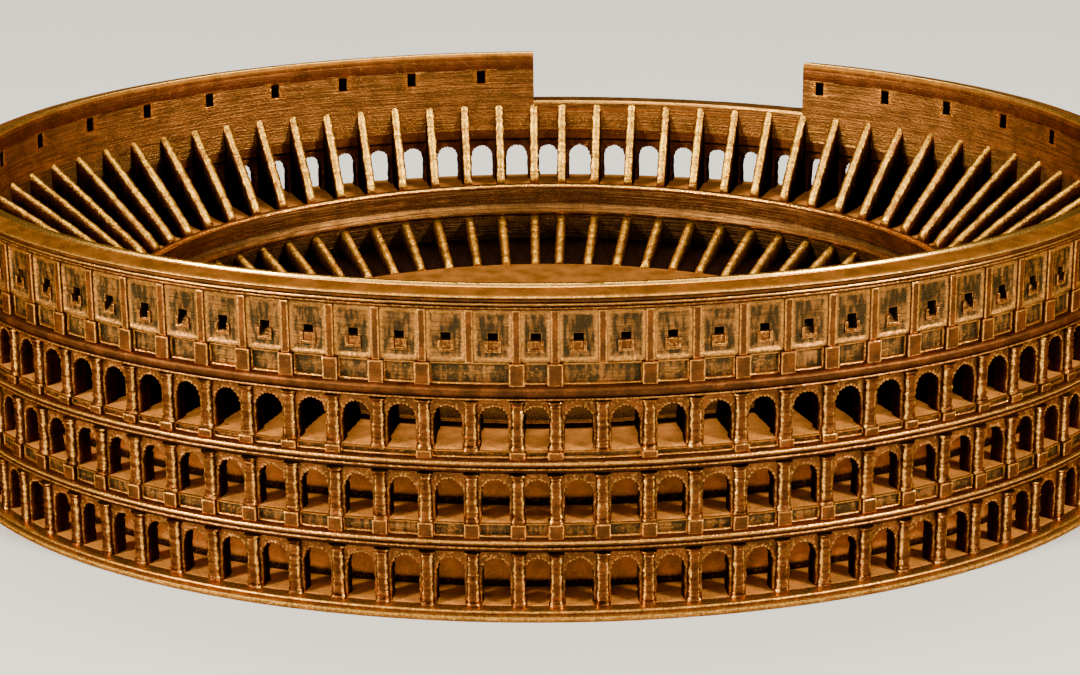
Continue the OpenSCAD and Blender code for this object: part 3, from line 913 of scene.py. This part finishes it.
def make_ring_wall():
    """Layered wall between the two rows of fins, with a ledge on its inner face and a thin bright rim. The
    wall and the ledge are darkened all over with painted shade, most at the wall's foot, and so is the rim's
    underside.
    """
    low, high = foot("ring_wall"), top("ring_wall")
    ring_piece("ring_wall_cast", [
        (-RING_WALL_T, low, -1.0), (0, low, -1.0), (0, high, -0.5), (-RING_WALL_T, high, -0.7),
    ], LAYERED, "layered_wall", ["ring_wall"], pair=RIM, rough=0.02)
    low, high = foot("ring_ledge"), top("ring_ledge")
    ring_piece("ring_ledge_cast", [
        (-0.05, low, -0.6), (0.26, low, -0.5), (0.3, low + 0.15, -0.3), (0.2, low + 0.5, -0.4),
        (0.05, high, -0.6), (-0.05, high, -0.2),
    ], LAYERED, "layered_wall", ["ring_ledge"], pair=RIM, rough=0.02)
    low, high = foot("gallery_rim"), top("gallery_rim")
    ring_piece("gallery_rim_cast", [
        (-RING_WALL_T - 0.05, low, -0.9), (0.08, low, -0.2), (0.1, high - 0.08, 0.9), (0.02, high, 0.9),
        (-RING_WALL_T, high, -0.3), (-RING_WALL_T - 0.05, high - 0.05, -0.9),
    ], EDGE, "polished_edge", ["gallery_rim"], pair=RIM, rough=0.02)


FIN_RINGS = 31
FIN_END_SHARE = 0.1
FIN_END_DROOP = 0.12
FIN_BEAD = 0.06
FIN_EMBED = 0.05
FIN_THICKENING = 0.3


def add_fin(shape, j, thick, low, outer, inner, high_outer, high_inner):
    """Radial fin standing on low, with a rounded, beaded, worn top that slopes from outer to inner.

    Its profile is drop below the crest against across, from one side over the top to the other, and the
    first and last drop reach down to low.
    """
    along = np.linspace(0, 1, FIN_RINGS)[:, None]
    bead = GRAINS.random(along.shape)
    depth = outer + (inner - outer) * along
    crest = high_outer + (high_inner - high_outer) * along
    droop = FIN_END_DROOP * np.clip((along - 1) / FIN_END_SHARE + 1, 0, 1) ** 2
    crest = crest - droop + FIN_BEAD * (bead - 0.5)
    half = thick / 2
    across = np.array([-1, -1, -1, -0.94, -0.72, -0.35, 0.35, 0.72, 0.94, 1, 1, 1]) * half
    drop = np.array([9, 0.9, 0.4, 0.2, 0.08, 0, 0, 0.08, 0.2, 0.4, 0.9, 9.0])
    # The top is rubbed bright and the sides darken downwards into painted shade.
    wear_and_shade_level = np.array([-1, -0.8, -0.2, 0.2, 0.5, 0.8, 0.8, 0.5, 0.2, -0.2, -0.8, -1])
    z = np.maximum(crest - drop[None, :], low)
    points = place(pier_s(j), depth, z)
    t = angle_at(pier_s(j))
    tangent = np.array([-HALF_LENGTH * math.sin(t), HALF_WIDTH * math.cos(t), 0])
    tangent = tangent / np.linalg.norm(tangent)
    points = points + across[None, :, None] * tangent * MM
    shape.add_grid(points, wear_and_shade_level + 0.5 * (bead - 0.5), False, True, "rows")


def make_fins():
    """Upper fins from the attic wall to the ring wall, and lower fins from the ring wall to the arena.

    The lower fins are thicker towards the front and back, where the oval is flatter.
    """
    shape = Shape()
    low = foot("upper_fins")
    for j in range(BAYS):
        rim = float(depth_at(pier_s(j), RIM)) - RING_WALL_T - FIN_EMBED
        add_fin(shape, j, UPPER_FIN_T, low, ATTIC_BACK - 0.1, rim, top("upper_fins"), UPPER_FIN_END_Z)
    shape.finish("upper_fins_cast", FIN, ["upper_fins"], 0.035, 0.2, sharp=60)
    shape = Shape()
    low = foot("lower_fins")
    for j in range(BAYS):
        rim = float(depth_at(pier_s(j), RIM)) - FIN_EMBED
        edge = float(depth_at(pier_s(j), ARENA))
        thick = LOWER_FIN_T * (1 + FIN_THICKENING * math.sin(angle_at(pier_s(j))) ** 2)
        add_fin(shape, j, thick, low, rim, edge, top("lower_fins"), LOWER_FIN_END_Z)
    shape.finish("lower_fins_cast", FIN, ["lower_fins"], 0.035, 0.2, sharp=60)


def finish_plain_nodes():
    """CAD nodes whose shape is right keep it and get their material."""
    # seating_core gets the fill that paints the shade between the lower fins.
    finishes = {"base_plate": MATT, "gallery_floor": MATT, "seating_core": PAINTED_SHADE_FILL}
    for node, material in finishes.items():
        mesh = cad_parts[node].data
        mesh.materials.clear()
        mesh.materials.append(material)


make_base()
for storey in (1, 2, 3):
    make_arcade(storey)
    make_half_columns(storey)
make_cornice(1)
make_cornice(2)
make_smooth_cornice()
make_crown()
make_coping()
make_panel_band("parapet_2", ARCADE_BACK, ())
make_panel_band("parapet_3", ARCADE_BACK, PARAPET_3_MERGED)
make_panel_band("attic_dado", ATTIC_BACK, DADO_MERGED)
make_pedestals("pedestals_2", ())
make_pedestals("pedestals_3", PARAPET_3_MERGED)
make_pedestals("dado_pedestals", DADO_MERGED)
make_attic_wall()
make_attic_pilasters()
make_window_frames()
make_broken_top()
make_ambulatories()
make_ring_wall()
make_arena()
make_fins()
finish_plain_nodes()


# ---------------------------------------------------------------- stage, lights and camera
FLOOR_HALF = 3.0
FLOOR_TONES = ((0.58, 0.57, 0.56, 1), (0.63, 0.62, 0.61, 1))
FLOOR_CLOUD_SCALE = 30.0
FLOOR_ROUGHNESS = 0.8


def make_floor():
    """Plain pale floor."""
    n = Nodes("pale_floor")
    spot = n.add("ShaderNodeTexCoord").outputs["Object"]
    tone = n.mix(n.noise(spot, FLOOR_CLOUD_SCALE), *FLOOR_TONES)
    shader = n.add("ShaderNodeBsdfPrincipled", None, Base_Color=tone, Roughness=FLOOR_ROUGHNESS)
    n.add("ShaderNodeOutputMaterial", None, Surface=shader.outputs[0])
    mesh = bpy.data.meshes.new("floor")
    corners = [(x * FLOOR_HALF, y * FLOOR_HALF, 0) for x, y in ((-1, -1), (1, -1), (1, 1), (-1, 1))]
    mesh.from_pydata(corners, [], [(0, 1, 2, 3)])
    mesh.materials.append(n.material)
    floor = bpy.data.objects.new("floor", mesh)
    bpy.context.scene.collection.objects.link(floor)


LIGHT_COLOUR = (1, 0.94, 0.8)
ROOM_COLOUR = (1.0, 0.9, 0.78, 1)
ROOM_STRENGTH = 0.05
AIM = Vector((0, 0, 0.01))


def add_light(name, at, size, power):
    """Soft rectangular light, turned towards the middle of the model."""
    data = bpy.data.lights.new(name, "AREA")
    data.shape = "RECTANGLE"
    data.size, data.size_y = size
    data.energy = power
    data.color = LIGHT_COLOUR
    light = bpy.data.objects.new(name, data)
    light.location = at
    light.rotation_mode = "QUATERNION"
    light.rotation_quaternion = (AIM - light.location).to_track_quat("-Z", "Y")
    bpy.context.scene.collection.objects.link(light)


def make_lights():
    """Two keys at the sides, soft lights in front, above and behind, and a dim warm room."""
    add_light("key_left", (-0.30, -0.22, 0.26), (0.07, 0.07), 3.4)
    add_light("key_right", (0.30, -0.22, 0.26), (0.07, 0.07), 3.4)
    add_light("left_soft", (-0.34, -0.26, 0.08), (0.2, 0.1), 0.6)
    add_light("front_high", (0.0, -0.42, 0.24), (0.3, 0.06), 0.42)
    add_light("front_low", (0.0, -0.50, 0.10), (0.5, 0.12), 0.15)
    add_light("front_top", (0.0, -0.19, 0.36), (0.3, 0.05), 0.35)
    add_light("top", (0.0, 0.06, 0.42), (0.3, 0.2), 0.8)
    add_light("back", (0.0, 0.15, 0.39), (0.4, 0.06), 1.1)
    world = bpy.data.worlds.new("soft_room")
    world.use_nodes = True
    background = world.node_tree.nodes["Background"]
    background.inputs["Color"].default_value = ROOM_COLOUR
    background.inputs["Strength"].default_value = ROOM_STRENGTH
    bpy.context.scene.world = world


CAMERA_AT = Vector((2.74, -173.98, 67.14)) * MM
CAMERA_FORWARD = Vector((-0.01623, 0.94483, -0.32716)).normalized()
CAMERA_ROLL = -0.0082
LENS_MM = 95.19
SENSOR_MM = 36
CLIP = (0.01, 10)


def make_camera():
    """Camera a little above the front, turned by a slight roll."""
    side = CAMERA_FORWARD.cross(Vector((0, 0, 1))).normalized()
    up = side.cross(CAMERA_FORWARD)
    c, s = math.cos(CAMERA_ROLL), math.sin(CAMERA_ROLL)
    right, over = side * c + up * s, up * c - side * s
    data = bpy.data.cameras.new("camera")
    data.sensor_width = SENSOR_MM
    data.lens = LENS_MM
    data.clip_start, data.clip_end = CLIP
    camera = bpy.data.objects.new("camera", data)
    turn = Matrix((right, over, -CAMERA_FORWARD)).transposed().to_4x4()
    camera.matrix_world = Matrix.Translation(CAMERA_AT) @ turn
    bpy.context.scene.collection.objects.link(camera)
    bpy.context.scene.camera = camera


make_floor()
make_lights()
make_camera()
